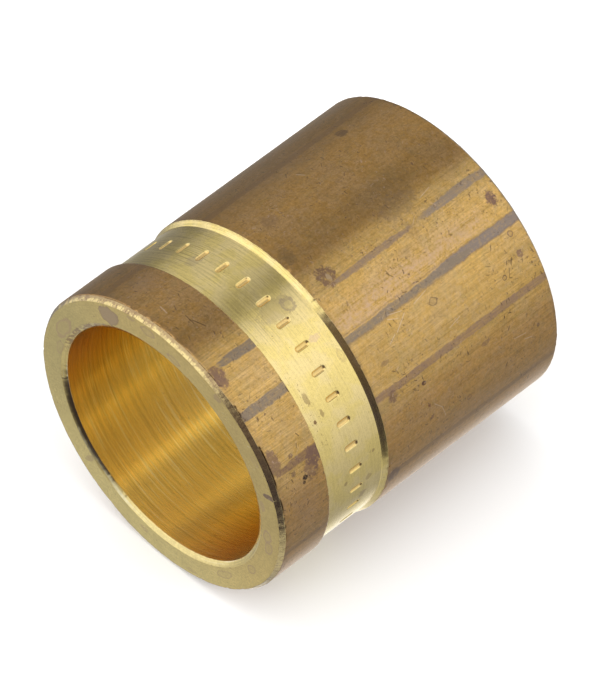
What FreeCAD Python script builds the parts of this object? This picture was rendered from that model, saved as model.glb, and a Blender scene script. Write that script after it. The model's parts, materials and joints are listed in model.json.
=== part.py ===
import FreeCAD, Part
import os
import math
import Sketcher

# Press sleeve for expanded plastic pipe, turned from one piece of brass.
#
# Frame: millimetres, +Z up. The sleeve lies on its side with its axis along Y.
# The origin is the centre of the bore at half length.
# The collar end (the end with the marked band) faces -Y, the plain end faces +Y.

os.makedirs("parts", exist_ok=True)

doc = FreeCAD.newDocument("press_sleeve_model")

# ---------------------------------------------------------------- dimensions
sheet = doc.addObject("Spreadsheet::Sheet", "dims")
rows = [
    # alias, value (mm, degrees or a count), note
    ("od", "26.0", "outside diameter of collar and body"),
    ("bore_dia", "20.7", "bore diameter"),
    ("total_len", "29.3", "overall length"),
    ("nose_rad", "0.24", "front outer chamfer, radial leg"),
    ("nose_ax", "0.36", "front outer chamfer, axial leg"),
    ("tail_rad", "0.46", "rear outer chamfer, radial leg"),
    ("tail_ax", "0.34", "rear outer chamfer, axial leg"),
    ("mouth_rad", "0.43", "bore chamfer at both ends, radial leg"),
    ("mouth_ax", "0.22", "bore chamfer at both ends, axial leg"),
    ("band_dia", "25.4", "diameter of the skimmed band"),
    ("band_start", "4.95", "front face to the front edge of the band"),
    ("band_end", "10.64", "front face to the foot of the shoulder"),
    ("shoulder_end", "11.06", "front face to the top of the shoulder"),
    ("tick_count", "36", "engraved ticks around the band"),
    ("tick_centre", "8.00", "front face to the middle of a tick"),
    ("tick_len", "1.30", "tick length over its round ends, along the axis"),
    ("tick_width", "0.50", "tick width"),
    ("tick_depth", "0.14", "tick depth below the band"),
    ("tick_first", "7.0", "angle of the first tick from +X towards +Z, degrees"),
]
for i, (alias, value, note) in enumerate(rows, start=1):
    sheet.set("A%d" % i, alias)
    sheet.set("B%d" % i, value)
    sheet.set("C%d" % i, note)
    sheet.setAlias("B%d" % i, alias)
doc.recompute()


def val(alias):
    return float(sheet.get(alias))


def plane_of(body, role):
    for f in body.Origin.OriginFeatures:
        if f.Role == role:
            return f
    raise RuntimeError("no " + role)


V = FreeCAD.Vector
LS = Part.LineSegment


def closed_chain(sketch, pts):
    """Add a closed polyline and tie its corners together; return the ids."""
    n = len(pts)
    ids = []
    for k in range(n):
        a, b = pts[k], pts[(k + 1) % n]
        ids.append(sketch.addGeometry(LS(V(a[0], a[1], 0), V(b[0], b[1], 0)), False))
    for k in range(n):
        sketch.addConstraint(Sketcher.Constraint("Coincident", ids[k], 2, ids[(k + 1) % n], 1))
    return ids


def place_point(sketch, gid, pos, name, xval, yval, xexpr, yexpr):
    """Dimension a corner from the sketch origin and bind it to the sheet."""
    for kind, tag, v, e in (("DistanceX", "_x", xval, xexpr), ("DistanceY", "_y", yval, yexpr)):
        idx = sketch.addConstraint(Sketcher.Constraint(kind, -1, 1, gid, pos, v))
        sketch.renameConstraint(idx, name + tag)
        sketch.setExpression("Constraints." + name + tag, e)


# ------------------------------------------------------------- press_sleeve
body = doc.addObject("PartDesign::Body", "press_sleeve")
body.Label = "press_sleeve"
doc.recompute()

od, bore = val("od"), val("bore_dia")
half = val("total_len") / 2.0
R, r = od / 2.0, bore / 2.0

# Wall section in the XY plane: X is the radius, Y runs along the sleeve.
prof = body.newObject("Sketcher::SketchObject", "wall_section")
prof.AttachmentSupport = [(plane_of(body, "XY_Plane"), "")]
prof.MapMode = "FlatFace"
doc.recompute()
pts = [
    (r, -half + val("mouth_ax")),
    (r + val("mouth_rad"), -half),
    (R - val("nose_rad"), -half),
    (R, -half + val("nose_ax")),
    (R, half - val("tail_ax")),
    (R - val("tail_rad"), half),
    (r + val("mouth_rad"), half),
    (r, half - val("mouth_ax")),
]
ids = closed_chain(prof, pts)
L2 = "dims.total_len / 2"
exprs = [
    ("dims.bore_dia / 2", "-" + L2 + " + dims.mouth_ax", "bore_front"),
    ("dims.bore_dia / 2 + dims.mouth_rad", "-" + L2, "mouth_front"),
    ("dims.od / 2 - dims.nose_rad", "-" + L2, "face_front"),
    ("dims.od / 2", "-" + L2 + " + dims.nose_ax", "skin_front"),
    ("dims.od / 2", L2 + " - dims.tail_ax", "skin_rear"),
    ("dims.od / 2 - dims.tail_rad", L2, "face_rear"),
    ("dims.bore_dia / 2 + dims.mouth_rad", L2, "mouth_rear"),
    ("dims.bore_dia / 2", L2 + " - dims.mouth_ax", "bore_rear"),
]
for k, (ex, ey, nm) in enumerate(exprs):
    place_point(prof, ids[k], 1, nm, pts[k][0], pts[k][1], ex, ey)
doc.recompute()

ring = body.newObject("PartDesign::Revolution", "turned_ring")
ring.Profile = prof
ring.ReferenceAxis = (prof, ["V_Axis"])
ring.Angle = 360.0
ring.Reversed = False
prof.Visibility = False
doc.recompute()
vol_ring = body.Shape.Volume

# Skimmed band with a conical shoulder up to the body, cut all the way round.
cut = body.newObject("Sketcher::SketchObject", "band_section")
cut.AttachmentSupport = [(plane_of(body, "XY_Plane"), "")]
cut.MapMode = "FlatFace"
doc.recompute()
rb = val("band_dia") / 2.0
over = 1.0
slope = (R - rb) / (val("shoulder_end") - val("band_end"))
y0 = -half + val("band_start")
y1 = -half + val("band_end")
y2 = -half + val("shoulder_end")
bp = [
    (rb, y0),
    (rb, y1),
    (R, y2),
    (R + over, y2),
    (R + over, y0),
]
bids = closed_chain(cut, bp)
bex = [
    ("dims.band_dia / 2", "-" + L2 + " + dims.band_start", "foot_front"),
    ("dims.band_dia / 2", "-" + L2 + " + dims.band_end", "foot_rear"),
    ("dims.od / 2", "-" + L2 + " + dims.shoulder_end", "top_rear"),
    ("dims.od / 2 + 1", "-" + L2 + " + dims.shoulder_end", "out_rear"),
    ("dims.od / 2 + 1", "-" + L2 + " + dims.band_start", "out_front"),
]
for k, (ex, ey, nm) in enumerate(bex):
    place_point(cut, bids[k], 1, nm, bp[k][0], bp[k][1], ex, ey)
doc.recompute()

band = body.newObject("PartDesign::Groove", "skimmed_band")
band.Profile = cut
band.ReferenceAxis = (cut, ["V_Axis"])
band.Angle = 360.0
band.Reversed = False
cut.Visibility = False
doc.recompute()
vol_band = body.Shape.Volume
want = math.pi * (R * R - rb * rb) * (y1 - y0)
# shoulder: the ring between the cone and the outside cylinder
hc = y2 - y1
want += math.pi * R * R * hc - math.pi * hc * (R * R + R * rb + rb * rb) / 3.0
print("band removes %.3f mm3, expected %.3f" % (vol_ring - vol_band, want))
if abs((vol_ring - vol_band) - want) > 0.02 * want:
    raise RuntimeError("the band did not cut what it should")

# One engraved tick with round ends, then the ring of ticks.
tick = body.newObject("Sketcher::SketchObject", "tick_outline")
tick.AttachmentSupport = [(plane_of(body, "YZ_Plane"), "")]
tick.MapMode = "FlatFace"
tick.AttachmentOffset = FreeCAD.Placement(V(0, 0, R), FreeCAD.Rotation())
tick.setExpression("AttachmentOffset.Base.z", "dims.od / 2")
doc.recompute()
# In the YZ plane the sketch's X is the sleeve's Y and its Y is the sleeve's Z.
tc = -half + val("tick_centre")
tr = val("tick_width") / 2.0
ta = val("tick_len") / 2.0 - tr
top = tick.addGeometry(LS(V(tc - ta, tr, 0), V(tc + ta, tr, 0)), False)
right = tick.addGeometry(
    Part.ArcOfCircle(Part.Circle(V(tc + ta, 0, 0), V(0, 0, 1), tr), -math.pi / 2, math.pi / 2), False)
bottom = tick.addGeometry(LS(V(tc + ta, -tr, 0), V(tc - ta, -tr, 0)), False)
left = tick.addGeometry(
    Part.ArcOfCircle(Part.Circle(V(tc - ta, 0, 0), V(0, 0, 1), tr), math.pi / 2, 3 * math.pi / 2), False)
C = Sketcher.Constraint
tick.addConstraint(C("Tangent", top, 2, right, 2))
tick.addConstraint(C("Tangent", right, 1, bottom, 1))
tick.addConstraint(C("Tangent", bottom, 2, left, 2))
tick.addConstraint(C("Tangent", left, 1, top, 1))
tick.addConstraint(C("Horizontal", top))
tick.addConstraint(C("Equal", left, right))
tick.addConstraint(C("PointOnObject", left, 3, -1))
i = tick.addConstraint(C("Radius", right, tr))
tick.renameConstraint(i, "end_radius")
tick.setExpression("Constraints.end_radius", "dims.tick_width / 2")
i = tick.addConstraint(C("DistanceX", -1, 1, right, 3, tc + ta))
tick.renameConstraint(i, "rear_centre")
tick.setExpression("Constraints.rear_centre",
                   "-" + L2 + " + dims.tick_centre + dims.tick_len / 2 - dims.tick_width / 2")
i = tick.addConstraint(C("DistanceX", -1, 1, left, 3, tc - ta))
tick.renameConstraint(i, "front_centre")
tick.setExpression("Constraints.front_centre",
                   "-" + L2 + " + dims.tick_centre - dims.tick_len / 2 + dims.tick_width / 2")
doc.recompute()

slot = body.newObject("PartDesign::Pocket", "tick")
slot.Profile = tick
slot.Type = 0
slot.Length = R - rb + val("tick_depth")
slot.setExpression("Length", "(dims.od - dims.band_dia) / 2 + dims.tick_depth")
slot.Reversed = False
tick.Visibility = False
doc.recompute()
vol_one = body.Shape.Volume
area = 2 * ta * 2 * tr + math.pi * tr * tr
print("one tick removes %.4f mm3, expected about %.4f" % (vol_band - vol_one, area * val("tick_depth")))
if abs((vol_band - vol_one) - area * val("tick_depth")) > 0.1 * area * val("tick_depth"):
    raise RuntimeError("the tick did not cut what it should")

ticks = body.newObject("PartDesign::PolarPattern", "tick_ring")
ticks.Originals = [slot]
ticks.Axis = (plane_of(body, "Y_Axis"), [""])
ticks.Angle = 360.0
ticks.Occurrences = int(val("tick_count"))
ticks.setExpression("Occurrences", "dims.tick_count")
body.Tip = ticks
doc.recompute()
vol_all = body.Shape.Volume
n = int(val("tick_count"))
print("%d ticks remove %.4f mm3, expected about %.4f" % (n, vol_band - vol_all, n * (vol_band - vol_one)))
if abs((vol_band - vol_all) - n * (vol_band - vol_one)) > 0.02 * n * (vol_band - vol_one):
    raise RuntimeError("the ring of ticks is not complete")

# The ring of ticks is turned about the axis to where the real marks sit.
body.Placement = FreeCAD.Placement(V(0, 0, 0), FreeCAD.Rotation(V(0, 1, 0), -val("tick_first")))
body.setExpression("Placement.Rotation.Angle", "dims.tick_first")
body.setExpression("Placement.Rotation.Axis.y", "-1")
doc.recompute()

# ------------------------------------------------------------ check and write
bad = []
for o in doc.Objects:
    st = [s for s in o.State if s in ("Invalid", "Error")]
    if st:
        bad.append((o.Name, st))
if bad:
    raise RuntimeError("failed objects: %r" % bad)

parts = [body]
for p in parts:
    s = p.Shape
    if s.isNull() or not s.isValid():
        raise RuntimeError("bad shape: " + p.Label)
    bb = s.BoundBox
    print("%s: %.3f x %.3f x %.3f mm, volume %.3f mm3, solids %d" %
          (p.Label, bb.XLength, bb.YLength, bb.ZLength, s.Volume, len(s.Solids)))
    s.exportStep("parts/%s.step" % p.Label)
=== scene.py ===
import json
import math

import bpy
import numpy as np
from mathutils import Matrix, Vector


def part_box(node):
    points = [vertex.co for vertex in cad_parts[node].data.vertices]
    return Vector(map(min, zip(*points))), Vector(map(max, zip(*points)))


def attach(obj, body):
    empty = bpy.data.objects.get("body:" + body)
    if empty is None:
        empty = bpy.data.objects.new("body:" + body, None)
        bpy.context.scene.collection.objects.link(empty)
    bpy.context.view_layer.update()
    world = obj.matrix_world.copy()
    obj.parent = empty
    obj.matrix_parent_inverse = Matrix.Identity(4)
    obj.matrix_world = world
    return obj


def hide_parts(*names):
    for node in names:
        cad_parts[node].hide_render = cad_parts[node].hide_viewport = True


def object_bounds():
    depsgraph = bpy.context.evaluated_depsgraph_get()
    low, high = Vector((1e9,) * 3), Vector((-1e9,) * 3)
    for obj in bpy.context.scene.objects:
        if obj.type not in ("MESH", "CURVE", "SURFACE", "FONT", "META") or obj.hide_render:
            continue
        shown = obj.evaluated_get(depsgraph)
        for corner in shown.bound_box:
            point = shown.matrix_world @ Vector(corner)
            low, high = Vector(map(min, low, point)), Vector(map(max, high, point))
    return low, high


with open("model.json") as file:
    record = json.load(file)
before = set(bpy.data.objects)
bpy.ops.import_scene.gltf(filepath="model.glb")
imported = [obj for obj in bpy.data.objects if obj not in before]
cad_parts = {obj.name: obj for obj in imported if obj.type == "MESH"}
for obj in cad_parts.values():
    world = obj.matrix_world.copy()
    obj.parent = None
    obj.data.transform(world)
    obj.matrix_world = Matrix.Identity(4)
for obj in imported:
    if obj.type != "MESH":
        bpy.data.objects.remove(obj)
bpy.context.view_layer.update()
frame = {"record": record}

# ------------------------------------------------------------------ section
# The sleeve lies along Y with its collar end at -Y.  The outside radius, the
# length and the end planes come from the CAD box, the bore from its mount.
lo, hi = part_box("press_sleeve")
R = (hi.x - lo.x) / 2
CX, CZ = (hi.x + lo.x) / 2, (hi.z + lo.z) / 2
Y0, LEN = lo.y, hi.y - lo.y
MM = R / 13.0
RI = next(m["dims"]["r_mm"] for m in frame["record"]["mounts"] if m["name"] == "bore") * 0.001 / MM

RO = 13.0                       # outside radius, in mm of the section
LL = LEN / MM
MOUTH_R, MOUTH_Y = 0.43, 0.22
NOSE_R, NOSE_Y = 0.24, 0.36
TAIL_R, TAIL_Y = 0.46, 0.34
BAND_R, BAND_0, BAND_1, SHOULDER = 12.70, 4.95, 10.64, 11.06
TICKS, TICK_FIRST, TICK_MID, TICK_LEN, TICK_W, TICK_DEEP = 36, 7.0, 8.00, 1.30, 0.50, 0.14

# corner: (along, radius, rounding, cuts in the rounding); run: zone and cuts
corners = [
    (0.0, RI + MOUTH_R, 0.035, 2), (0.0, RO - NOSE_R, 0.030, 2), (NOSE_Y, RO, 0.050, 2),
    (BAND_0, RO, 0.035, 2), (BAND_0, BAND_R, 0.040, 2), (BAND_1, BAND_R, 0.060, 2),
    (SHOULDER, RO, 0.035, 2), (LL - TAIL_Y, RO, 0.050, 2), (LL, RO - TAIL_R, 0.060, 2),
    (LL, RI + MOUTH_R, 0.035, 2), (LL - MOUTH_Y, RI, 0.030, 2), (MOUTH_Y, RI, 0.030, 2),
]
FACE, NOSE, SKIN, STEP, BAND, SLOPE, TAIL, REAR, MOUTH, BORE = range(10)
even = lambda n: [(i + 1) / (n + 1) for i in range(n)]
tick_cuts = [(TICK_MID + k - BAND_0) / (BAND_1 - BAND_0) for k in
             (-.85, -.72, -.66, -.62, -.57, -.51, -.45, -.38, -.30, -.20, -.08, .08, .20, .30, .38, .45, .51, .57, .62, .66, .72, .85)]
runs = [(FACE, even(6)), (NOSE, even(3)), (SKIN, [.01, .05, .35, .65, .95, .99]), (STEP, even(1)),
        (BAND, [.02, .1, .2, .3] + tick_cuts + [.8, .9, .98]), (SLOPE, even(1)),
        (SKIN, [.003, .02] + even(4) + [.98, .997]), (TAIL, even(2)), (REAR, even(3)), (MOUTH, even(1)),
        (BORE, [.005, .02] + even(5) + [.98, .995]), (MOUTH, even(1))]


def section():
    """The closed section as points (along, radius), the zone after each point, and a tag for the corner it belongs to."""
    n = len(corners)
    pts, zone, tag = [], [], []
    for i in range(n):
        p0, p1, p2 = (np.array(corners[k % n][:2]) for k in (i - 1, i, i + 1))
        u, v = (p0 - p1) / np.linalg.norm(p0 - p1), (p2 - p1) / np.linalg.norm(p2 - p1)
        rho, cuts = corners[i][2], corners[i][3]
        half = math.acos(max(-1, min(1, float(u @ v)))) / 2
        back = rho / math.tan(half)
        a, b = p1 + u * back, p1 + v * back
        mid = (u + v) / np.linalg.norm(u + v)
        c = p1 + mid * rho / math.sin(half)
        t0, t1 = math.atan2(*(a - c)[::-1]), math.atan2(*(b - c)[::-1])
        d = (t1 - t0 + math.pi) % (2 * math.pi) - math.pi
        for k in range(cuts + 1):
            t = t0 + d * k / cuts
            pts.append(c + rho * np.array([math.cos(t), math.sin(t)]))
            tag.append(i)
            zone.append(runs[i][0] if k == cuts else None)
        nxt = np.array(corners[(i + 1) % n][:2])
        after = np.array(corners[(i + 2) % n][:2])
        w, x = (p1 - nxt) / np.linalg.norm(p1 - nxt), (after - nxt) / np.linalg.norm(after - nxt)
        end = nxt + w * corners[(i + 1) % n][2] / math.tan(math.acos(max(-1, min(1, float(w @ x)))) / 2)
        for f in runs[i][1]:
            pts.append(b + (end - b) * f)
            tag.append(-1)
            zone.append(runs[i][0])
    for k in range(len(zone)):          # a rounding takes the brighter zone beside it
        if zone[k] is None:
            i = tag[k]
            zone[k] = {0: FACE, 1: NOSE, 2: NOSE, 3: STEP, 4: STEP, 5: SLOPE, 6: SLOPE, 7: TAIL, 8: TAIL, 9: REAR, 10: MOUTH, 11: MOUTH}[i]
    return np.array(pts), zone, np.array(tag)


prof, zones, tags = section()
side = [-4.45, -3.9, -3.35, -2.8, -2.3, -1.85, -1.5, -1.28, -1.12, -.93, -.68, -.36]
per_tick = [-5.0] + side + [0.0] + [-s for s in reversed(side)]
ang = np.array([TICK_FIRST + 10.0 * k + d for k in range(TICKS) for d in per_tick])
ROWS, COLS = len(prof), len(ang)


def ring_noise(a, knots, seed):
    """Smooth noise from -1 to 1 round the ring."""
    v = np.random.default_rng(seed).uniform(-1, 1, knots)
    t = (a % 360.0) / 360.0 * knots
    i = np.floor(t).astype(int)
    f = t - i
    f = f * f * (3 - 2 * f)
    return v[i % knots] * (1 - f) + v[(i + 1) % knots] * f


def nicks(a, count, seed, width, deep):
    g = np.random.default_rng(seed)
    out = np.zeros_like(a)
    for c, w, d in zip(g.uniform(0, 360, count), g.uniform(*width, count), g.uniform(*deep, count)):
        x = np.abs((a - c + 180) % 360 - 180) / w
        out = np.maximum(out, d * np.clip(1 - x, 0, 1) ** 0.8)
    return out


A, P = ang[None, :], prof
along = np.repeat(P[:, :1], COLS, 1)
rad = np.repeat(P[:, 1:], COLS, 1)

# the burred, uneven outer edge of the collar: always cut inwards
cut1 = 0.008 * (1 + ring_noise(ang, 230, 3)) + 0.010 * (1 + ring_noise(ang, 60, 4)) + nicks(ang, 30, 5, (.6, 1.8), (.01, .05))
cut2 = 0.014 * (1 + ring_noise(ang, 190, 7)) + 0.022 * (1 + ring_noise(ang, 70, 9)) + nicks(ang, 26, 8, (.7, 2.2), (.02, .09))
rough = 0.003 * (1 + ring_noise(ang, 430, 11))
for k in range(ROWS):
    if tags[k] == 1:
        rad[k] -= cut1
        along[k] += 0.3 * cut1
    elif tags[k] == 2:
        along[k] += cut2
        rad[k] -= 0.10 * cut2
    elif zones[k] == NOSE:
        f = (P[k, 0]) / NOSE_Y
        along[k] += cut2 * f + 0.3 * cut1 * (1 - f)
        rad[k] -= cut1 * (1 - f) + rough + 0.002 * (1 + ring_noise(ang, 520, 40 + k))
    elif tags[k] == 3:                                   # collar's back edge, a fine burr
        along[k] -= 0.018 * (1 + ring_noise(ang, 300, 13)) + nicks(ang, 26, 15, (.4, 1.2), (.01, .06))
        rad[k] -= 0.006 * (1 + ring_noise(ang, 420, 17))
    elif tags[k] == 6:                                   # body's front edge
        along[k] += 0.014 * (1 + ring_noise(ang, 280, 19)) + nicks(ang, 22, 21, (.4, 1.4), (.01, .07))
        rad[k] -= 0.006 * (1 + ring_noise(ang, 380, 23))
    elif tags[k] in (7, 8):                              # parted-off back edge
        along[k] -= 0.020 * (1 + ring_noise(ang, 220, 25 + tags[k]))
        rad[k] -= 0.012 * (1 + ring_noise(ang, 260, 27 + tags[k]))
    elif tags[k] in (0, 9):
        rad[k] += 0.012 * (1 + ring_noise(ang, 320, 31 + tags[k])) + nicks(ang, 18, 33, (.4, 1.0), (.01, .06))
    elif tags[k] in (10, 11):
        along[k] += (0.012 * (1 + ring_noise(ang, 300, 35 + tags[k]))) * (1 if tags[k] == 11 else -1)

# the ring of plain ticks pressed into the band
off = ((ang - TICK_FIRST + 5.0) % 10.0) - 5.0
across = np.radians(off) * BAND_R
for k in range(ROWS):
    if zones[k] == BAND and abs(P[k, 0] - TICK_MID) < TICK_LEN * 0.75:
        run = max(0.0, abs(P[k, 0] - TICK_MID) - (TICK_LEN - TICK_W) / 2)
        d = np.sqrt(across ** 2 + run ** 2) / (TICK_W / 2)
        rad[k] -= TICK_DEEP * np.clip(1 - d ** 2.6, 0, 1) ** 0.85

along = np.clip(along, 0, LL)
rad = np.clip(rad, None, RO)
th = np.radians(ang)[None, :]
xyz = np.stack([CX + rad * MM * np.cos(th), Y0 + along * MM, CZ + rad * MM * np.sin(th)], -1).reshape(-1, 3)

quads = np.empty((ROWS, COLS, 4), np.int64)
r0, c0 = np.meshgrid(np.arange(ROWS), np.arange(COLS), indexing="ij")
r1, c1 = (r0 + 1) % ROWS, (c0 + 1) % COLS
quads[..., 0], quads[..., 1] = r0 * COLS + c0, r1 * COLS + c0
quads[..., 2], quads[..., 3] = r1 * COLS + c1, r0 * COLS + c1

mesh = bpy.data.meshes.new("turned_sleeve")
mesh.vertices.add(len(xyz))
mesh.vertices.foreach_set("co", xyz.astype(np.float32).ravel())
nq = ROWS * COLS
mesh.loops.add(nq * 4)
mesh.loops.foreach_set("vertex_index", quads.reshape(-1).astype(np.int32))
mesh.polygons.add(nq)
mesh.polygons.foreach_set("loop_start", np.arange(0, nq * 4, 4, dtype=np.int32))
mesh.polygons.foreach_set("loop_total", np.full(nq, 4, np.int32))
slot_of = {FACE: 2, NOSE: 3, SKIN: 0, STEP: 1, BAND: 1, SLOPE: 1, TAIL: 0, REAR: 2, MOUTH: 5, BORE: 4}
mesh.polygons.foreach_set("material_index", np.repeat([slot_of[z] for z in zones], COLS).astype(np.int32))
mesh.polygons.foreach_set("use_smooth", np.ones(nq, bool))

step = np.linalg.norm(np.roll(P, -1, 0) - P, axis=1)
v_of = np.concatenate([[0], np.cumsum(step)]) / step.sum()
u_of = np.concatenate([(ang - ang[0]) / 360.0, [1.0]])
uv = np.empty((ROWS, COLS, 4, 2), np.float32)
uv[..., 0, 0] = uv[..., 1, 0] = u_of[c0]
uv[..., 2, 0] = uv[..., 3, 0] = u_of[c0 + 1]
uv[..., 0, 1] = uv[..., 3, 1] = v_of[r0]
uv[..., 1, 1] = uv[..., 2, 1] = v_of[r0 + 1]
layer = mesh.uv_layers.new(name="OFBake")
layer.uv.foreach_set("vector", (uv * 0.994 + 0.003).ravel())
mesh.update(calc_edges=True)
mesh.validate()
sleeve = bpy.data.objects.new("turned_sleeve", mesh)
bpy.context.scene.collection.objects.link(sleeve)


# ------------------------------------------------------- node writing helper
class Val:
    """A float socket or number that can be used in ordinary arithmetic."""

    def __init__(self, net, src):
        self.net, self.src = net, src

    def _op(self, op, *others, clamp=False):
        n = self.net.tree.nodes.new("ShaderNodeMath")
        n.operation, n.use_clamp = op, clamp
        for s, v in zip(n.inputs, (self,) + others):
            self.net.feed(s, v)
        return Val(self.net, n.outputs[0])

    def __add__(self, o): return self._op("ADD", o)
    def __radd__(self, o): return self._op("ADD", o)
    def __sub__(self, o): return self._op("SUBTRACT", o)
    def __rsub__(self, o): return self.net.num(o)._op("SUBTRACT", self)
    def __mul__(self, o): return self._op("MULTIPLY", o)
    def __rmul__(self, o): return self._op("MULTIPLY", o)
    def __truediv__(self, o): return self._op("DIVIDE", o)
    def __neg__(self): return self._op("MULTIPLY", -1.0)
    def __pow__(self, o): return self._op("POWER", o)
    def abs(self): return self._op("ABSOLUTE")
    def sqrt(self): return self._op("SQRT")
    def clamp(self): return self._op("ADD", 0.0, clamp=True)
    def max(self, o): return self._op("MAXIMUM", o)
    def min(self, o): return self._op("MINIMUM", o)

    def step(self, a, b):
        """Smooth 0 to 1 as the value goes from a to b (b may be below a)."""
        n = self.net.tree.nodes.new("ShaderNodeMapRange")
        n.interpolation_type = "SMOOTHSTEP"
        flip = not isinstance(a, Val) and not isinstance(b, Val) and a > b
        self.net.feed(n.inputs["Value"], self)
        self.net.feed(n.inputs["From Min"], b if flip else a)
        self.net.feed(n.inputs["From Max"], a if flip else b)
        n.inputs["To Min"].default_value = 1.0 if flip else 0.0
        n.inputs["To Max"].default_value = 0.0 if flip else 1.0
        return Val(self.net, n.outputs["Result"])


class Net:
    def __init__(self, tree):
        self.tree = tree
        tree.nodes.clear()

    def feed(self, socket, v):
        if isinstance(v, Val):
            if isinstance(v.src, (int, float)):
                socket.default_value = v.src
            else:
                self.tree.links.new(v.src, socket)
        elif isinstance(v, bpy.types.NodeSocket):
            self.tree.links.new(v, socket)
        else:
            socket.default_value = v

    def num(self, x):
        n = self.tree.nodes.new("ShaderNodeValue")
        n.outputs[0].default_value = x
        return Val(self, n.outputs[0])

    def xyz(self, socket):
        n = self.tree.nodes.new("ShaderNodeSeparateXYZ")
        self.tree.links.new(socket, n.inputs[0])
        return [Val(self, o) for o in n.outputs]

    def vec(self, x, y, z):
        n = self.tree.nodes.new("ShaderNodeCombineXYZ")
        for s, v in zip(n.inputs, (x, y, z)):
            self.feed(s, v)
        return n.outputs[0]

    def noise(self, vec, scale=1.0, detail=2.0, rough=0.5, warp=0.0):
        n = self.tree.nodes.new("ShaderNodeTexNoise")
        n.noise_dimensions = "3D"
        self.tree.links.new(vec, n.inputs["Vector"])
        n.inputs["Scale"].default_value = scale
        n.inputs["Detail"].default_value = detail
        n.inputs["Roughness"].default_value = rough
        n.inputs["Distortion"].default_value = warp
        return Val(self, n.outputs["Fac"] if "Fac" in n.outputs else n.outputs[0])

    def cells(self, vec, scale, feature="F1"):
        n = self.tree.nodes.new("ShaderNodeTexVoronoi")
        n.feature = feature
        self.tree.links.new(vec, n.inputs["Vector"])
        n.inputs["Scale"].default_value = scale
        return Val(self, n.outputs["Distance"])

    def mix(self, fac, a, b):
        n = self.tree.nodes.new("ShaderNodeMix")
        n.data_type = "RGBA"
        n.clamp_factor = True
        self.feed(n.inputs[0], fac)
        for s, v in ((n.inputs[6], a), (n.inputs[7], b)):
            self.feed(s, v if not isinstance(v, tuple) else (*v, 1.0))
        return n.outputs[2]

    def scale(self, col, k):
        """Colour times a number."""
        n = self.tree.nodes.new("ShaderNodeMix")
        n.data_type, n.blend_type, n.clamp_factor = "RGBA", "MULTIPLY", True
        n.inputs[0].default_value = 1.0
        self.feed(n.inputs[6], col if not isinstance(col, tuple) else (*col, 1.0))
        c = self.tree.nodes.new("ShaderNodeCombineColor")
        for s in c.inputs:
            self.feed(s, k)
        self.feed(n.inputs[7], c.outputs[0])
        return n.outputs[2]


class Fn:
    """A small node group used like a function of floats."""

    def __init__(self, name, ins, build):
        self.tree = bpy.data.node_groups.new(name, "ShaderNodeTree")
        for i in ins:
            self.tree.interface.new_socket(i, in_out="INPUT", socket_type="NodeSocketFloat")
        self.tree.interface.new_socket("Out", in_out="OUTPUT", socket_type="NodeSocketFloat")
        net = Net(self.tree)
        gi = self.tree.nodes.new("NodeGroupInput")
        go = self.tree.nodes.new("NodeGroupOutput")
        net.feed(go.inputs[0], build(*[Val(net, gi.outputs[k]) for k in range(len(ins))]))

    def __call__(self, net, *args):
        n = net.tree.nodes.new("ShaderNodeGroup")
        n.node_tree = self.tree
        for s, v in zip(n.inputs, args):
            net.feed(s, v)
        return Val(net, n.outputs[0])


def _ellipse(d, q, edge, a0, q0, ha, hq, amount):
    x, y = (d - a0) / ha, (q - q0) / hq
    return (x * x + y * y).sqrt() + (edge - 0.5) * amount


def _rise(v, a, b):
    """Smooth 0 to 1 from a to b, where a is below b and either may be a socket."""
    t = ((v - a) / (b - a)).clamp()
    return t * t * (3.0 - 2.0 * t)


def _stripe(d, z, a0, half, z0, z1, soft, fade):
    span = _rise(z, z0 - fade, z0 + fade) * (1.0 - _rise(z, z1 - fade, z1 + fade))
    width = half * (0.25 + 0.75 * span)
    return (1.0 - _rise((d - a0).abs(), width - soft, width + soft)) * _rise(span, 0.02, 0.45)


def _scratch(px, py, dx, dy, inv, w):
    t = ((px * dx + py * dy) * inv).clamp()
    x, y = px - t * dx, py - t * dy
    return 1.0 - _rise((x * x + y * y).sqrt(), w * 0.4, w + 0.03)


def _outlined(d, q, e, a0, q0, ha, hq, am, w):
    r = _ellipse(d, q, e, a0, q0, ha, hq, am)
    return (1.0 - _rise(r, 0.93, 1.03)) * (0.30 + 0.70 * _rise(r, 0.85 - w, 0.95 - w))


ROUND = ["deg", "q", "edge", "a0", "q0", "ha", "hq", "amount"]
SPOT = Fn("spot", ROUND + ["soft"], lambda d, q, e, a0, q0, ha, hq, am, so: 1.0 - _rise(_ellipse(d, q, e, a0, q0, ha, hq, am), 1.0 - so, 1.0 + so * 0.25))
OUTLINED = Fn("outlined_spot", ROUND + ["width"], _outlined)
STRIPE = Fn("stripe", ["deg", "z", "a0", "half", "z0", "z1", "soft", "fade"], _stripe)
SCRATCH = Fn("scratch", ["px", "py", "dx", "dy", "inv", "w"], _scratch)


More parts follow.
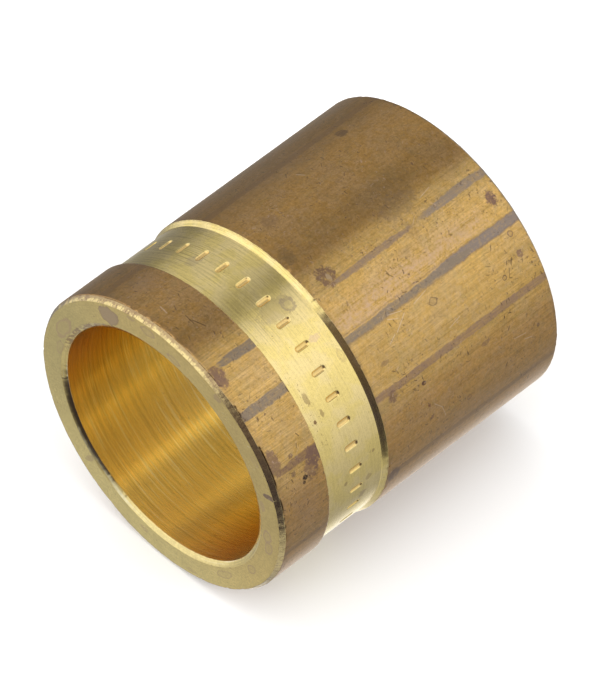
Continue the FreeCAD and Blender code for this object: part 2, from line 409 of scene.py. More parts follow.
class Surface(Net):
    """One metal finish.  Offers the place on the sleeve as deg (round the ring, 90 at the top), z (mm from the collar's face) and r (mm)."""

    def __init__(self, name):
        self.mat = bpy.data.materials.new(name)
        self.mat.use_nodes = True
        super().__init__(self.mat.node_tree)
        tc = self.tree.nodes.new("ShaderNodeTexCoord")
        x, y, z = self.xyz(tc.outputs["Object"])
        self.x, self.h = (x - CX) * (1 / MM), (z - CZ) * (1 / MM)
        self.z = (y - Y0) * (1 / MM)
        self.deg = self.h._op("ARCTAN2", self.x) * (180 / math.pi)
        self.r = (self.x * self.x + self.h * self.h).sqrt()
        self.at = self.vec(self.x, self.z, self.h)          # place in mm

    def stretched(self, round_k, along_k, third=0.0):
        """Coordinates squeezed round the ring and along it, seamless at every angle."""
        u = self.r.max(0.1)
        return self.vec(self.x / u * round_k, self.z * along_k + third, self.h / u * round_k)

    def turned(self, angle, fast, slow, third):
        """Coordinates on the unrolled surface, in mm, turned by an angle and squeezed into long thin cells."""
        c, n = math.cos(math.radians(angle)), math.sin(math.radians(angle))
        u = self.deg * (math.pi / 180 * RO)
        return self.vec((u * c + self.z * n) * fast, (self.z * c - u * n) * slow, third)

    def spots(self, col, rows, edge, mott, axis=None, amount=0.9, soft=0.16):
        q = self.z if axis is None else axis
        for a0, q0, ha, hq, c, k, hollow in rows:
            if hollow:
                m = OUTLINED(self, self.deg, q, edge, a0, q0, ha, hq, amount * 0.7, hollow)
            else:
                m = SPOT(self, self.deg, q, edge, a0, q0, ha, hq, amount, soft)
            col = self.mix(m * (mott * k), col, c)
        return col

    def scratches(self, rows):
        out = None
        k = math.pi / 180 * RO
        for a0, z0, a1, z1, w in rows:
            dx, dy = (a1 - a0) * k, z1 - z0
            m = SCRATCH(self, (self.deg - a0) * k, self.z - z0, dx, dy, 1 / (dx * dx + dy * dy), w)
            out = m if out is None else out.max(m)
        return out

    def finish(self, colour, rough, height=None, distance=0.01, aniso=0.0, turn=0.0):
        bsdf = self.tree.nodes.new("ShaderNodeBsdfPrincipled")
        out = self.tree.nodes.new("ShaderNodeOutputMaterial")
        bsdf.inputs["Metallic"].default_value = 1.0
        self.feed(bsdf.inputs["Base Color"], colour)
        self.feed(bsdf.inputs["Roughness"], rough)
        if aniso:
            bsdf.inputs["Anisotropic"].default_value = aniso
            bsdf.inputs["Anisotropic Rotation"].default_value = turn
            tg = self.tree.nodes.new("ShaderNodeTangent")
            tg.direction_type, tg.axis = "RADIAL", "Y"
            self.tree.links.new(tg.outputs[0], bsdf.inputs["Tangent"])
        if height is not None:
            b = self.tree.nodes.new("ShaderNodeBump")
            b.inputs["Strength"].default_value = 1.0
            b.inputs["Distance"].default_value = distance * MM
            self.feed(b.inputs["Height"], height)
            self.tree.links.new(b.outputs[0], bsdf.inputs["Normal"])
        self.tree.links.new(bsdf.outputs[0], out.inputs["Surface"])
        return self.mat


# ---------------------------------------------------------------- finishes
BRASS = (0.900, 0.720, 0.290)
BROWN = (0.240, 0.150, 0.095)
GREY = (0.330, 0.256, 0.195)
DULL = (0.280, 0.217, 0.155)
PURPLE = (0.250, 0.150, 0.105)
PINK = (0.600, 0.400, 0.265)


def drawn_skin():
    s = Surface("drawn_skin_tarnish_and_painted_shade")
    fine = s.noise(s.stretched(105.0, 0.30), 1.0, 3.0, 0.72)        # hair lines along the tube
    hair = s.noise(s.stretched(60.0, 0.12, 7.0), 1.0, 2.0, 0.6)
    broad = s.noise(s.stretched(20.0, 0.07), 1.0, 2.0, 0.55)
    cloud = s.noise(s.at, 0.32, 5.0, 0.62, 0.5)
    mott = s.noise(s.at, 1.5, 4.0, 0.70, 0.6)
    grain = s.noise(s.at, 4.6, 3.0, 0.75)
    edge = s.noise(s.at, 2.4, 5.0, 0.74)
    holes = s.noise(s.at, 3.4, 3.0, 0.7, 0.4).step(0.33, 0.50)
    # painted light and shade round the tube over the tarnish colour: lighter and yellower from about 27° to 72°, where
    # the skin reflects the bright panels, and darker on either side
    a = s.deg + (cloud - 0.5) * 7.0
    left = a.step(72.5, 79.0).max(s.deg.step(-95.0, -165.0))
    right = a.step(27.0, 14.0)
    lined = 1.0 - a.step(71.0, 80.0) * (1.0 - a.step(122.0, 140.0)) * 0.55 - right * s.deg.step(-40.0, -20.0) * 0.25
    col = s.mix(right, (0.585, 0.378, 0.142), (0.535, 0.322, 0.128))
    col = s.mix(left, col, (0.466, 0.278, 0.106))
    warm = s.mix((mott * 0.5 + cloud * 0.5).step(0.42, 0.60), (1.05, 1.01, 0.84), (0.99, 1.01, 1.10))
    warm = s.mix(s.noise(s.at, 0.9, 4.0, 0.7, 0.8).step(0.50, 0.66) * 0.5, warm, (0.86, 0.93, 1.02))
    m = s.tree.nodes.new("ShaderNodeMix")
    m.data_type, m.blend_type = "RGBA", "MULTIPLY"
    m.inputs[0].default_value = 1.0
    s.feed(m.inputs[6], col)
    s.feed(m.inputs[7], warm)
    collar = s.z.step(5.3, 4.9)
    rougher = 1.0 + s.deg.step(47.0, 54.0) * s.deg.step(75.0, 68.0) * 0.60 * (1.0 - collar * 0.8) + collar * 0.10
    tone = 1.0 + ((fine - 0.5) * (1.25 + collar * 0.45) + (hair - 0.5) * 0.55 + (broad - 0.5) * 0.34) * lined + (mott - 0.5) * 0.50 + (grain - 0.5) * (1.20 - lined * 0.50) * rougher
    col = s.scale(m.outputs[2], tone.max(0.25))
    col = s.mix(fine.step(0.57, 0.68) * hair.step(0.46, 0.56) * lined * 0.62, col, (0.25, 0.150, 0.070))
    col = s.mix(fine.step(0.44, 0.34) * lined * 0.55, col, (0.72, 0.490, 0.165))
    # broad, soft patches
    patch = 0.34 + (mott - 0.5) * 2.0 + (grain - 0.5) * 2.0 + (hair - 0.5) * 1.4
    col = s.mix((STRIPE(s, s.deg + (mott - 0.5) * 9.0, s.z, 56.6, 4.6, 10.4, 25.0, 3.6, 5.0) * patch.clamp() * 0.80), col, PINK)
    col = s.spots(col, [(84.0, 21.2, 9.0, 3.6, (0.30, 0.20, 0.095), 0.42, 0), (120.0, 18.5, 10.0, 5.0, (0.52, 0.36, 0.22), 0.30, 0),
                        (112.0, 3.2, 8.0, 1.6, (0.50, 0.33, 0.21), 0.40, 0), (-6.0, 20.0, 9.0, 6.0, (0.50, 0.36, 0.25), 0.30, 0),
                        (8.0, 2.6, 12.0, 1.8, (0.42, 0.28, 0.19), 0.35, 0)], cloud, (mott * 0.8 + 0.6) * holes, amount=2.2, soft=0.95)
    # long drawn-in stripes
    wob = s.deg + (s.noise(s.stretched(5.0, 0.55), 1.0, 3.0, 0.65) - 0.5) * 1.8 + (edge - 0.5) * 1.3 + (hair - 0.5) * 0.8
    stripes = [
        (68.0, 1.55, 23.2, 30.4, GREY, 1.00, 2.4), (67.4, 1.20, 13.6, 20.4, (0.325, 0.230, 0.165), 0.90, 2.4), (67.9, 1.75, 1.9, 6.2, DULL, 1.05, 1.5),
        (50.0, 1.80, 20.5, 31.0, (0.285, 0.226, 0.185), 1.14, 2.2), (49.7, 1.35, 9.0, 23.6, DULL, 1.00, 1.6), (49.8, 1.80, -0.9, 7.0, DULL, 1.08, 2.6),
        (26.6, 1.45, 10.0, 31.0, (0.300, 0.192, 0.150), 0.76, 1.0), (26.6, 1.6, 1.6, 6.0, PURPLE, 0.85, 1.2),
        (121.0, 1.85, -0.6, 30.0, (0.34, 0.205, 0.105), 0.55, 0.4),
        (-8.4, 1.4, -0.6, 30.0, BROWN, 0.45, 0.4),
        (168.0, 1.6, -0.6, 30.0, GREY, 0.80, 0.4), (-34.0, 1.7, -0.6, 30.0, PURPLE, 0.60, 0.4), (-74.0, 1.9, -0.6, 30.0, GREY, 0.90, 0.4),
        (-103.0, 1.2, 6.0, 24.0, BROWN, 0.55, 2.2), (-141.0, 1.6, -0.6, 30.0, PURPLE, 0.65, 0.4),
    ]
    worn = (0.88 + (mott - 0.5) * 1.0 + (grain - 0.5) * 0.9 - (fine - 0.5) * 0.7) * (0.74 + 0.26 * holes)
    for a0, half, z0, z1, c, k, fade in stripes:
        col = s.mix((STRIPE(s, wob, s.z, a0, half, z0, z1, 0.30, fade) * (worn * k)).clamp(), col, c)
    rim = STRIPE(s, wob, s.z, 50.0, 2.2, 8.0, 30.0, 0.25, 1.4) - STRIPE(s, wob, s.z, 50.0, 1.5, 8.0, 30.0, 0.30, 1.4)
    col = s.mix(rim.max(0.0) * 0.35, col, (0.19, 0.125, 0.085))
    spots = [
        (59.2, 28.0, 3.0, 0.50, PURPLE, 1.05, 0), (71.0, 13.1, 4.1, 0.82, (0.27, 0.165, 0.095), 1.0, 0), (70.0, 13.2, 1.6, 0.22, (0.60, 0.44, 0.26), 0.6, 0),
        (65.0, 0.85, 4.6, 0.66, PURPLE, 0.9, 0), (24.2, 4.35, 4.4, 0.72, PURPLE, 1.0, 0), (31.0, 1.0, 5.8, 0.55, PURPLE, 0.75, 0), (21.0, 3.9, 4.4, 0.7, PURPLE, 0.7, 0),
        (114.5, 24.2, 2.6, 0.46, (0.22, 0.14, 0.08), 0.75, 0), (46.0, 27.7, 1.2, 0.26, (0.20, 0.125, 0.09), 0.8, 0.22), (38.6, 27.6, 1.7, 0.28, PURPLE, 0.8, 0),
        (34.8, 25.5, 1.0, 0.22, (0.15, 0.10, 0.07), 0.8, 0.24), (43.2, 19.1, 1.6, 0.42, (0.24, 0.165, 0.09), 0.75, 0.16),
        (21.0, 15.6, 0.8, 0.24, (0.16, 0.09, 0.06), 0.95, 0), (11.6, 15.6, 0.7, 0.14, (0.26, 0.10, 0.07), 0.9, 0), (5.6, 15.7, 0.9, 0.2, (0.30, 0.17, 0.12), 0.7, 0),
        (11.2, 27.1, 0.9, 0.16, BROWN, 0.9, 0), (24.2, 12.6, 2.2, 0.5, PURPLE, 0.75, 0), (66.0, 21.0, 3.6, 0.6, BROWN, 0.20, 0), (62.0, 19.4, 2.4, 0.6, BROWN, 0.18, 0),
        (19.2, 3.1, 1.1, 0.26, (0.07, 0.05, 0.04), 1.0, 0), (17.9, 2.9, 0.8, 0.18, (0.07, 0.05, 0.04), 1.0, 0), (29.5, 2.5, 1.0, 0.24, BROWN, 0.8, 0), (23.0, 2.2, 1.0, 0.22, BROWN, 0.7, 0),
        (-9.5, 11.8, 3.8, 0.7, BROWN, 0.85, 0), (84.5, 12.0, 4.0, 0.6, (0.26, 0.175, 0.09), 0.45, 0), (76.0, 21.6, 4.4, 2.0, (0.28, 0.19, 0.11), 0.40, 0),
        (2.0, 19.6, 1.3, 0.24, PURPLE, 0.6, 0.2), (19.0, 22.0, 1.0, 0.5, PURPLE, 0.5, 0), (36.0, 13.0, 1.0, 0.4, BROWN, 0.5, 0), (100.0, 13.6, 3.0, 0.8, BROWN, 0.35, 0),
        (-50.0, 20.0, 4.0, 1.0, PURPLE, 0.8, 0), (-120.0, 17.0, 5.0, 0.9, BROWN, 0.8, 0), (-88.0, 25.0, 2.4, 0.6, PURPLE, 0.8, 0.2),
        (178.0, 15.0, 3.4, 0.8, BROWN, 0.7, 0), (150.0, 21.0, 2.8, 0.6, PURPLE, 0.6, 0), (-160.0, 26.0, 3.4, 0.6, PURPLE, 0.8, 0),
    ]
    col = s.spots(col, spots, edge, (0.62 + mott * 0.7) * (0.30 + 0.70 * holes), amount=1.9, soft=0.22)
    # small pits, short dark ticks and pale rubs
    where = s.noise(s.at, 0.25, 3.0, 0.6).step(0.40, 0.60)
    speck = s.noise(s.at, 3.3, 3.0, 0.78).step(0.615, 0.645) * (0.30 + 0.70 * where)
    t1 = s.noise(s.turned(24.0, 4.6, 1.1, 3.0), 1.0, 1.0, 0.6).step(0.712, 0.738)
    t2 = s.noise(s.turned(-58.0, 4.8, 1.0, 9.0), 1.0, 1.0, 0.6).step(0.71, 0.735)
    t3 = s.noise(s.turned(84.0, 4.4, 1.0, 15.0), 1.0, 1.0, 0.6).step(0.71, 0.735)
    ticks = (t1 + t2 + t3).clamp() * (0.30 + 0.70 * where)
    col = s.mix(speck * 0.70, col, (0.19, 0.125, 0.085))
    fine_pit = s.noise(s.at, 5.2, 2.0, 0.75, 0.3).step(0.66, 0.70) * (0.35 + 0.65 * where)
    col = s.mix(fine_pit * 0.55, col, (0.17, 0.11, 0.075))
    col = s.mix(ticks * 0.72, col, (0.13, 0.085, 0.055))
    pale = s.noise(s.at, 3.1, 4.0, 0.80, 1.0).step(0.60, 0.655) * (0.20 + 0.80 * s.noise(s.at, 0.30, 3.0, 0.6).step(0.42, 0.60))
    col = s.mix(pale * 0.52, col, (0.70, 0.50, 0.38))
    scr = s.noise(s.turned(-35.0, 5.6, 0.5, 21.0), 1.0, 1.0, 0.6).step(0.765, 0.785)
    col = s.mix(scr * 0.30, col, (0.80, 0.60, 0.42))
    marks = s.scratches([(10.6, 16.1, 7.0, 16.8, .012), (7.0, 16.8, 2.0, 17.1, .012), (110.5, 18.6, 107.6, 18.9, .03), (33.4, 20.6, 32.2, 19.4, .012),
                         (45.8, 16.5, 42.0, 15.2, .02), (41.8, 14.9, 40.2, 14.2, .014), (97.8, 1.9, 94.0, 1.75, .03), (9.4, 25.6, 8.4, 26.3, .03), (48.6, 15.2, 47.0, 16.4, .012), (47.4, 15.0, 45.6, 15.8, .012), (46.4, 17.6, 47.6, 19.0, .01), (12.6, 24.6, 11.6, 25.8, .02),
                         (74.5, 24.6, 73.4, 23.4, .014), (-62.0, 14.0, -68.0, 17.0, .02), (170.0, 19.0, 162.0, 20.6, .02)])
    col = s.mix(marks * 0.50, col, (0.84, 0.66, 0.50))
    dark = s.scratches([(89.0, 2.55, 84.8, 2.5, .03), (86.0, 2.62, 81.6, 3.0, .03), (35.0, 3.7, 33.6, 3.85, .03), (32.0, 3.4, 30.6, 3.25, .02),
                        (34.0, 25.9, 36.6, 26.2, .02), (57.5, 17.4, 59.8, 17.1, .02)])
    col = s.mix(dark * 0.75, col, (0.10, 0.07, 0.05))
    # darker, stained rims where the skin was cut
    col = s.mix(s.z.step(LL - TAIL_Y - 0.10, LL - TAIL_Y + 0.04) * (0.55 + (edge - 0.5) * 1.2), col, (0.17, 0.120, 0.080))
    rims = (s.z.step(1.2, 0.35) + (1.0 - s.z.step(11.06, 11.4)) * s.z.step(10.9, 11.0)).clamp() * (edge * 1.6 - 0.45).clamp()
    col = s.mix(rims * 0.6, col, (0.24, 0.15, 0.10))
    height = ((fine - 0.5) * 0.6 * lined + (grain - 0.5) * 0.9 - ticks * 0.7 - speck * 0.5)
    rough = 0.31 + (mott - 0.5) * 0.12 + speck * 0.12
    return s.finish(col, rough, height, 0.012, 0.25, 0.0)


def turned_band():
    s = Surface("fresh_turned_band")
    lines = s.noise(s.stretched(2.0, 7.0), 1.0, 4.0, 0.78)
    faint = s.noise(s.stretched(4.0, 14.0, 5.0), 1.0, 3.0, 0.75)
    cloud = s.noise(s.at, 0.55, 3.0, 0.55, 0.3)
    grain = s.noise(s.at, 4.8, 3.0, 0.75)
    edge = s.noise(s.at, 2.4, 5.0, 0.72)
    strong = 1.0 + 0.8 * s.deg.step(60.0, 74.0) + 0.5 * s.deg.step(84.0, 98.0)
    tone = 0.985 + ((lines - 0.5) * 0.42 + (faint - 0.5) * 0.48) * strong + (cloud - 0.5) * 0.14 + (grain - 0.5) * 0.48
    # painted light and shade on the band: tone raised by 6% below about 63°, and lowered by 12% between about 118° and
    # 135°
    tone = tone * (1.0 + 0.06 * s.deg.step(67.0, 59.0)) * (1.0 - 0.12 * s.deg.step(115.0, 120.0) * s.deg.step(139.0, 132.0) * s.z.step(BAND_1 + 0.04, BAND_1 - 0.02))
    col = s.scale(s.mix(cloud.step(0.40, 0.62), (0.900, 0.712, 0.262), (0.900, 0.720, 0.325)), tone.min(1.11))
    # painted shade: the slope behind the band is darkened between about −18° and 40°
    slope = s.z.step(BAND_1 + 0.02, BAND_1 + 0.10) * s.deg.step(44.0, 36.0) * s.deg.step(-24.0, -12.0)
    col = s.mix(slope * 0.16, col, (0.0, 0.0, 0.0))
    rows = [(72.0, 8.2, 5.0, 1.7, (0.50, 0.39, 0.22), 0.40, 0.0), (71.0, 9.3, 3.0, 0.60, (0.36, 0.28, 0.20), 0.55, 0.3), (56.8, 9.2, 1.4, 0.6, (0.80, 0.56, 0.40), 0.5, 0.0),
            (47.0, 10.3, 2.6, 0.34, (0.60, 0.45, 0.20), 0.45, 0.3), (33.2, 5.75, 0.8, 0.14, (0.26, 0.15, 0.07), 1.0, 0.0), (41.5, 5.95, 3.0, 0.24, (0.40, 0.28, 0.12), 0.7, 0.0),
            (34.5, 6.6, 1.6, 0.18, (0.38, 0.26, 0.11), 0.7, 0.0), (-1.8, 9.3, 1.6, 0.3, (0.50, 0.36, 0.16), 0.5, 0.0), (107.0, 7.2, 3.2, 0.8, (0.55, 0.44, 0.28), 0.40, 0.0),
            (3.0, 6.9, 1.0, 0.22, (0.42, 0.30, 0.13), 0.6, 0.0), (9.0, 9.9, 1.0, 0.16, (0.40, 0.28, 0.12), 0.6, 0.0), (-9.5, 8.8, 2.0, 0.4, (0.42, 0.30, 0.16), 0.5, 0.0),
            (-60.0, 8.0, 5.0, 1.2, (0.48, 0.38, 0.22), 0.5, 0.0), (-120.0, 9.0, 4.0, 0.8, (0.48, 0.38, 0.22), 0.5, 0.3), (175.0, 7.0, 4.0, 1.0, (0.48, 0.38, 0.22), 0.45, 0.0)]
    col = s.spots(col, rows, edge, 0.55 + grain * 0.8, amount=1.9, soft=0.3)
    near = s.z.step(6.9, 5.4) * s.deg.step(58.0, 44.0) * s.deg.step(16.0, 26.0)
    speck = (s.noise(s.at, 3.6, 3.0, 0.75) + near * 0.055).step(0.665, 0.700)
    col = s.mix(speck * 0.60, col, (0.34, 0.22, 0.10))
    deep = s.r.step(BAND_R - 0.015, BAND_R - 0.08) * s.z.step(BAND_1 - 0.2, BAND_1 - 0.6)
    col = s.mix(deep * 0.55, col, (0.93, 0.60, 0.21))
    lip = (s.z.step(SHOULDER - 0.12, SHOULDER - 0.02) + s.z.step(BAND_0 + 0.22, BAND_0 + 0.05)) * edge.step(0.44, 0.60)
    col = s.mix(lip * 0.5, col, (0.38, 0.26, 0.12))
    height = (lines - 0.5) * 1.0 + (faint - 0.5) * 0.6 + (grain - 0.5) * 0.35 - speck * 0.6
    rough = 0.22 + (cloud - 0.5) * 0.06 + deep * 0.08
    return s.finish(col, rough, height, 0.0040, 0.70, 0.25)


def cut_face():
    s = Surface("parted_off_face")
    rings = s.noise(s.vec(s.r * 9.0, s.x * 0.25, s.h * 0.25), 1.0, 2.0, 0.6)
    cloud = s.noise(s.at, 0.6, 4.0, 0.60, 0.3)
    edge = s.noise(s.at, 1.5, 5.0, 0.68)
    grain = s.noise(s.at, 4.8, 3.0, 0.72)
    # painted reflection: the face tone is raised towards the bottom of the face, and a little near the top on the −X
    # side
    low = 0.79 + 0.235 * s.h.step(2.0, -11.5) + 0.10 * s.h.step(5.0, 10.5) * s.x.step(9.0, 3.0)
    tone = low * (0.95 + (cloud - 0.5) * 0.26 + (grain - 0.5) * 0.52 + (edge - 0.5) * 0.22 + (rings - 0.5) * 0.16)
    col = s.scale(s.mix((s.x * 0.8 + s.h * 0.6).step(-7.0, 6.0), (0.905, 0.738, 0.305), (0.915, 0.695, 0.262)), tone)
    TAN = (0.60, 0.43, 0.235)
    stains = [(117.4, 11.72, 5.6, 0.86, (0.55, 0.40, 0.25), 0.85, 0.0), (117.4, 11.72, 5.8, 0.90, (0.42, 0.29, 0.17), 0.55, 0.10), (154.8, 11.5, 8.0, 0.60, TAN, 0.70, 0.16), (-9.5, 11.75, 4.0, 0.40, TAN, 0.75, 0.20),
              (-3.6, 11.45, 3.6, 0.46, TAN, 0.80, 0.18), (-31.8, 11.45, 2.8, 0.40, TAN, 0.60, 0.18), (-53.5, 11.45, 5.6, 0.36, TAN, 0.45, 0.16), (81.8, 11.3, 3.8, 0.30, TAN, 0.70, 0.2),
              (95.4, 12.1, 3.8, 0.42, TAN, 0.70, 0.16), (18.9, 12.35, 1.3, 0.90, (0.30, 0.20, 0.13), 1.0, 0.0), (-134.0, 11.3, 1.4, 0.8, (0.54, 0.40, 0.22), 0.50, 0.0),
              (60.0, 12.45, 2.0, 0.5, (0.55, 0.39, 0.22), 0.6, 0.0), (12.5, 11.2, 3.0, 0.30, TAN, 0.6, 0.0), (168.0, 11.1, 4.4, 0.34, TAN, 0.5, 0.18), (-100.0, 11.5, 2.2, 0.3, TAN, 0.35, 0.0),
              (34.0, 12.2, 2.4, 0.34, TAN, 0.4, 0.2), (104.0, 12.4, 2.4, 0.2, TAN, 0.5, 0.0), (-75.0, 12.3, 3.0, 0.2, TAN, 0.3, 0.0)]
    col = s.spots(col, stains, edge, 0.75 + grain * 0.5, axis=s.r, amount=1.5, soft=0.2)
    speck = s.noise(s.at, 3.4, 2.0, 0.72).step(0.66, 0.70)
    col = s.mix(speck * 0.62, col, (0.44, 0.31, 0.15))
    dusty = s.noise(s.at, 2.9, 3.0, 0.75, 0.7).step(0.63, 0.69) * cloud.step(0.48, 0.60)
    col = s.mix(dusty * 0.35, col, (0.95, 0.86, 0.62))
    lip = (s.r.step(RO - NOSE_R - 0.20, RO - NOSE_R) + s.r.step(RI + MOUTH_R + 0.16, RI + MOUTH_R)) * s.noise(s.at, 2.2, 4.0, 0.7).step(0.48, 0.60)
    col = s.mix(lip * 0.55, col, (0.42, 0.30, 0.16))
    height = (rings - 0.5) * 0.5 + (grain - 0.5) * 1.0 - speck * 0.5
    rough = 0.26 + (cloud - 0.5) * 0.08
    return s.finish(col, rough, height, 0.0030, 0.0, 0.0)


def burred_edge():
    s = Surface("burred_chamfer")
    shred = s.noise(s.stretched(80.0, 1.6), 1.0, 4.0, 0.75)
    chip = s.noise(s.at, 2.4, 5.0, 0.75)
    cloud = s.noise(s.at, 0.8, 3.0, 0.6)
    tone = 0.94 + (shred - 0.5) * 0.5 + (chip - 0.5) * 0.4
    col = s.scale((0.93, 0.742, 0.345), tone.min(1.06))
    worn = 0.60 + 0.40 * s.deg.step(84.0, 98.0)
    brown = (chip + (cloud - 0.5) * 0.6).step(0.47, 0.60) * worn
    col = s.mix(brown * 0.70, col, (0.38, 0.25, 0.14))
    col = s.mix(shred.step(0.55, 0.61) * 0.78 * worn, col, (0.20, 0.13, 0.075))
    outer = (s.z + (chip - 0.5) * 0.55 + (shred - 0.5) * 0.25).step(0.15, 0.27) * s.deg.step(54.0, 66.0)
    col = s.mix(outer * 0.72, col, (0.37, 0.25, 0.14))
    # painted shade: the chamfer is darkened round the −X side, past about 145° either way, and at the lower right from
    # about −20° to −65°
    dim = (s.deg.step(134.0, 156.0) + s.deg.step(-150.0, -166.0) + s.deg.step(-16.0, -26.0) * s.deg.step(-74.0, -56.0)).clamp()
    col = s.mix(dim * 0.52, col, (0.22, 0.155, 0.075))
    height = (shred - 0.5) * 1.0 + (chip - 0.5) * 1.0
    rough = 0.25 + (chip - 0.5) * 0.2
    return s.finish(col, rough, height, 0.012)


def bored_wall(name, colour, rough0, deepen, aniso, rag):
    s = Surface(name)
    lines = s.noise(s.stretched(0.75, 4.6), 1.0, 3.0, 0.70)
    fine = s.noise(s.stretched(1.5, 11.0, 3.0), 1.0, 2.0, 0.70)
    thin = s.noise(s.stretched(1.9, 6.5, 31.0), 1.0, 1.0, 0.6)
    cloud = s.noise(s.at, 0.35, 3.0, 0.5)
    grain = s.noise(s.at, 4.6, 2.0, 0.7)
    bright = thin.step(0.58, 0.68) + lines.step(0.60, 0.72) * 0.5
    level = 0.93
    if rag:
        body = colour
    else:
        # painted light and shade round the bore: the wall near 180° is duller and darker, the wall from about −28° to
        # −80° paler and brighter, with a darker dip near −110°
        upper = (s.deg.step(140.0, 165.0) + s.deg.step(-150.0, -175.0)).clamp()
        lower = s.deg.step(-108.0, -80.0) * s.deg.step(-12.0, -28.0)
        body = s.mix(lower, s.mix(upper, colour, (0.950, 0.755, 0.330)), (1.0, 0.850, 0.400))
        dip = s.deg.step(-121.0, -111.0) * s.deg.step(-98.0, -107.0)
        level = 0.945 - 0.035 * upper + 0.030 * lower - 0.050 * dip
    tone = (level + (lines - 0.5) * 0.58 + (fine - 0.5) * 0.72 + (grain - 0.5) * 0.25).min(1.0)
    col = s.scale(body, tone)
    col = s.mix(bright.min(1.0) * 0.78, col, (1.0, 0.93, 0.62))
    col = s.mix(thin.step(0.34, 0.27) * 0.08, col, (0.62, 0.40, 0.10))
    speck = s.noise(s.at, 2.6, 2.0, 0.7).step(0.69, 0.73)
    col = s.mix(speck * 0.45, col, (0.45, 0.28, 0.10))
    if rag:
        # painted shade darkens the mouth from about −126° to −160°, and painted light brightens it from about −58° to
        # −101°
        col = s.mix(s.deg.step(-108.0, -126.0) * s.deg.step(-172.0, -160.0) * 0.40, col, (0.36, 0.27, 0.10))
        lit = s.deg.step(-36.0, -58.0) * s.deg.step(-119.0, -101.0)
        col = s.mix(lit * 0.65, col, (1.0, 0.83, 0.38))
        torn = s.noise(s.at, 2.6, 4.0, 0.75).step(0.40, 0.56) * (s.deg.step(84.0, 112.0) * (1.0 - s.deg.step(158.0, 172.0)) * 0.7 + 0.15)
        col = s.mix(torn, col, (0.36, 0.235, 0.12))
    height = (lines - 0.5) * 0.7 + (fine - 0.5) * 1.0
    rough = rough0 + (cloud - 0.5) * 0.04
    return s.finish(col, rough, height, deepen, aniso, 0.25)


for mat in (drawn_skin(), turned_band(), cut_face(), burred_edge(),
            bored_wall("bored_wall", (1.000, 0.790, 0.290), 0.24, 0.0016, 0.93, False),
            bored_wall("reamed_mouth", (0.900, 0.720, 0.290), 0.18, 0.0015, 0.3, True)):
    mesh.materials.append(mat)

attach(sleeve, "root")
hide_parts("press_sleeve")

# ------------------------------------------------------------------- floor
low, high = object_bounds()
bpy.ops.mesh.primitive_circle_add(vertices=96, radius=0.55, fill_type="NGON", location=(0, 0, low.z))
floor = bpy.context.active_object
floor.name = "floor"
floor.visible_glossy = False
fm = bpy.data.materials.new("pale_floor")
fm.use_nodes = True
net = Net(fm.node_tree)
tc = net.tree.nodes.new("ShaderNodeTexCoord")
soft = net.noise(tc.outputs["Object"], 40.0, 2.0)
fb = net.tree.nodes.new("ShaderNodeBsdfDiffuse")
net.feed(fb.inputs["Color"], net.mix(soft, (0.90, 0.90, 0.895), (0.92, 0.92, 0.915)))
fo = net.tree.nodes.new("ShaderNodeOutputMaterial")
net.tree.links.new(fb.outputs[0], fo.inputs[0])
floor.data.materials.append(fm)

# ------------------------------------------------------------------- light
# A plain tent.  Behind the sleeve a ring of soft panels, set by the angle round
# Y; in front a large soft box at the upper left and a dim room at the right.
world = bpy.data.worlds.new("soft_tent")
bpy.context.scene.world = world
world.use_nodes = True
w = Net(world.node_tree)
wc = w.tree.nodes.new("ShaderNodeTexCoord")
dx, dy, dz = w.xyz(wc.outputs["Generated"])


def toward(v):
    v = Vector(v).normalized()
    return dx * v.x + dy * v.y + dz * v.z


def over(base, amount, level):
    return base * (1.0 - amount) + amount * level


# (degrees round Y from +X through +Z, level)
ring = [(-118.4, 1.5), (-110, 1.35), (-98, .96), (-92, .68), (-86, .45), (-78, .37), (-66, .41), (-50, .46), (-34, .53), (-10, .71), (2, .82),
        (14, .92), (26, 1.01), (38, 1.07), (50, 1.10), (62, 1.08), (74, .97), (81, .88), (87, .74), (92.5, .58), (97, .36), (103, .30), (111, .36), (118, .50),
        (126, .60), (136, .61), (158, .55), (170, .43), (178, .33), (192, .245), (214, .30)]
turn = (dz._op("ARCTAN2", dx) * (180 / math.pi) + 118.4)._op("FLOORED_MODULO", 360.0) * (1 / 360.0)
ramp = w.tree.nodes.new("ShaderNodeValToRGB")
w.feed(ramp.inputs[0], turn)
el = ramp.color_ramp.elements
for i, (d, v) in enumerate(ring):
    e = el[0] if i == 0 else el.new((d + 118.4) / 360.0)
    e.color = (v, v, v, 1)
el[len(el) - 1].color = (0.62, 0.62, 0.62, 1)
n = w.tree.nodes.new("ShaderNodeSeparateColor")
w.tree.links.new(ramp.outputs[0], n.inputs[0])
behind = Val(w, n.outputs[0])
behind = over(behind, dy.step(0.72, 0.95), 0.80)
front = over(w.num(0.555), dy.step(-0.35, 0.0) * dz.step(-0.6, -0.2) * 0.5, 0.5)
lum = over(front, dy.step(-0.02, 0.30), behind)
split = toward((-.8997, .0942, .4264))
lum = over(lum, split.step(-0.16, 0.06) * (-dy).step(-0.30, 0.02) * dz.step(-0.66, -0.20), 1.0 + 0.22 * dz.step(-0.1, 0.5))
room = dx.step(-0.10, 0.10) * (-dy).step(0.05, 0.30) * dz.step(-0.76, -0.68) * split.step(0.06, -0.16)
lit = w.mix(room, w.scale((1.0, 1.0, 1.0), lum), w.mix(dz.step(-0.35, 0.5), (0.052, 0.044, 0.072), (0.130, 0.100, 0.115)))
path = w.tree.nodes.new("ShaderNodeLightPath")
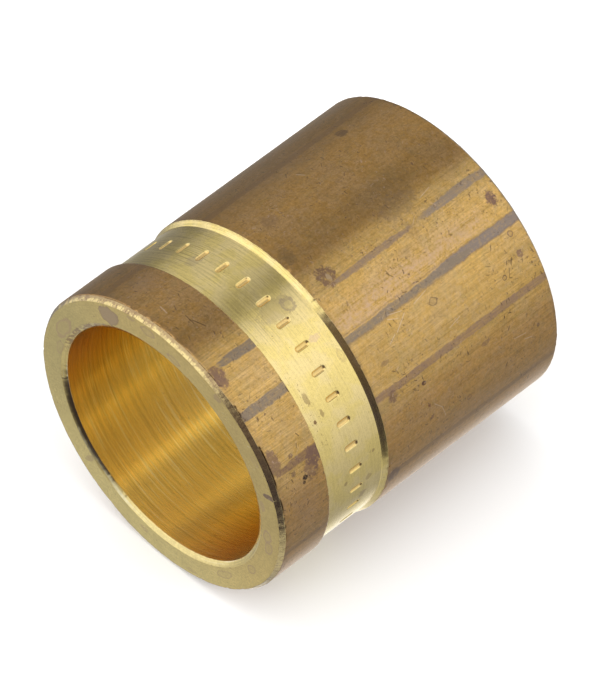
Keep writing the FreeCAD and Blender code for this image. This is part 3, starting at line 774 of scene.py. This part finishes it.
seen = w.mix(path.outputs["Is Camera Ray"], lit, (0.95, 0.95, 0.95))
bg = w.tree.nodes.new("ShaderNodeBackground")
w.tree.links.new(seen, bg.inputs["Color"])
wo = w.tree.nodes.new("ShaderNodeOutputWorld")
w.tree.links.new(bg.outputs[0], wo.inputs[0])


def panel(name, place, size, power, aim=(0, 0, 0)):
    d = bpy.data.lights.new(name, "AREA")
    d.shape, d.size, d.energy = "DISK", size, power
    o = bpy.data.objects.new(name, d)
    bpy.context.scene.collection.objects.link(o)
    o.location = place
    o.rotation_mode = "QUATERNION"
    o.rotation_quaternion = (Vector(aim) - Vector(place)).to_track_quat("-Z", "Y")
    o.visible_glossy = False
    o.visible_camera = False
    return o


panel("overhead", (0.0, 0.0, 0.9), 1.6, 3.4)
panel("fill_front", (0.25, -0.65, 0.40), 0.8, 2.9)
panel("fill_right", (0.65, 0.10, 0.30), 0.8, 3.6)
panel("fill_left", (-0.60, 0.05, 0.35), 0.8, 1.6)

# ------------------------------------------------------------------ camera
AZ, EL, DIST = math.radians(45.704), math.radians(49.291), 49.37045
right = Vector((math.cos(AZ), math.sin(AZ), 0))
up = Vector((-math.sin(AZ) * math.sin(EL), math.cos(AZ) * math.sin(EL), math.cos(EL)))
back = Vector((math.sin(AZ) * math.cos(EL), -math.cos(AZ) * math.cos(EL), math.sin(EL)))
cam = bpy.data.cameras.new("camera")
cam_ob = bpy.data.objects.new("camera", cam)
bpy.context.scene.collection.objects.link(cam_ob)
cam.sensor_fit, cam.sensor_width, cam.lens = "AUTO", 36.0, 8605.81 / 685 * 36
cam_ob.location = Vector((CX, Y0, CZ)) + R * (0.80107 * right + 0.59365 * up + DIST * back)
cam_ob.rotation_mode = "QUATERNION"
cam_ob.rotation_quaternion = Matrix((right, up, back)).transposed().to_quaternion()
cam.clip_start, cam.clip_end = 0.05, 5.0
bpy.context.scene.camera = cam_ob
bpy.context.scene.view_settings.view_transform = "Standard"
bpy.context.scene.cycles.glossy_bounces = 12          # light goes many times round inside the bore
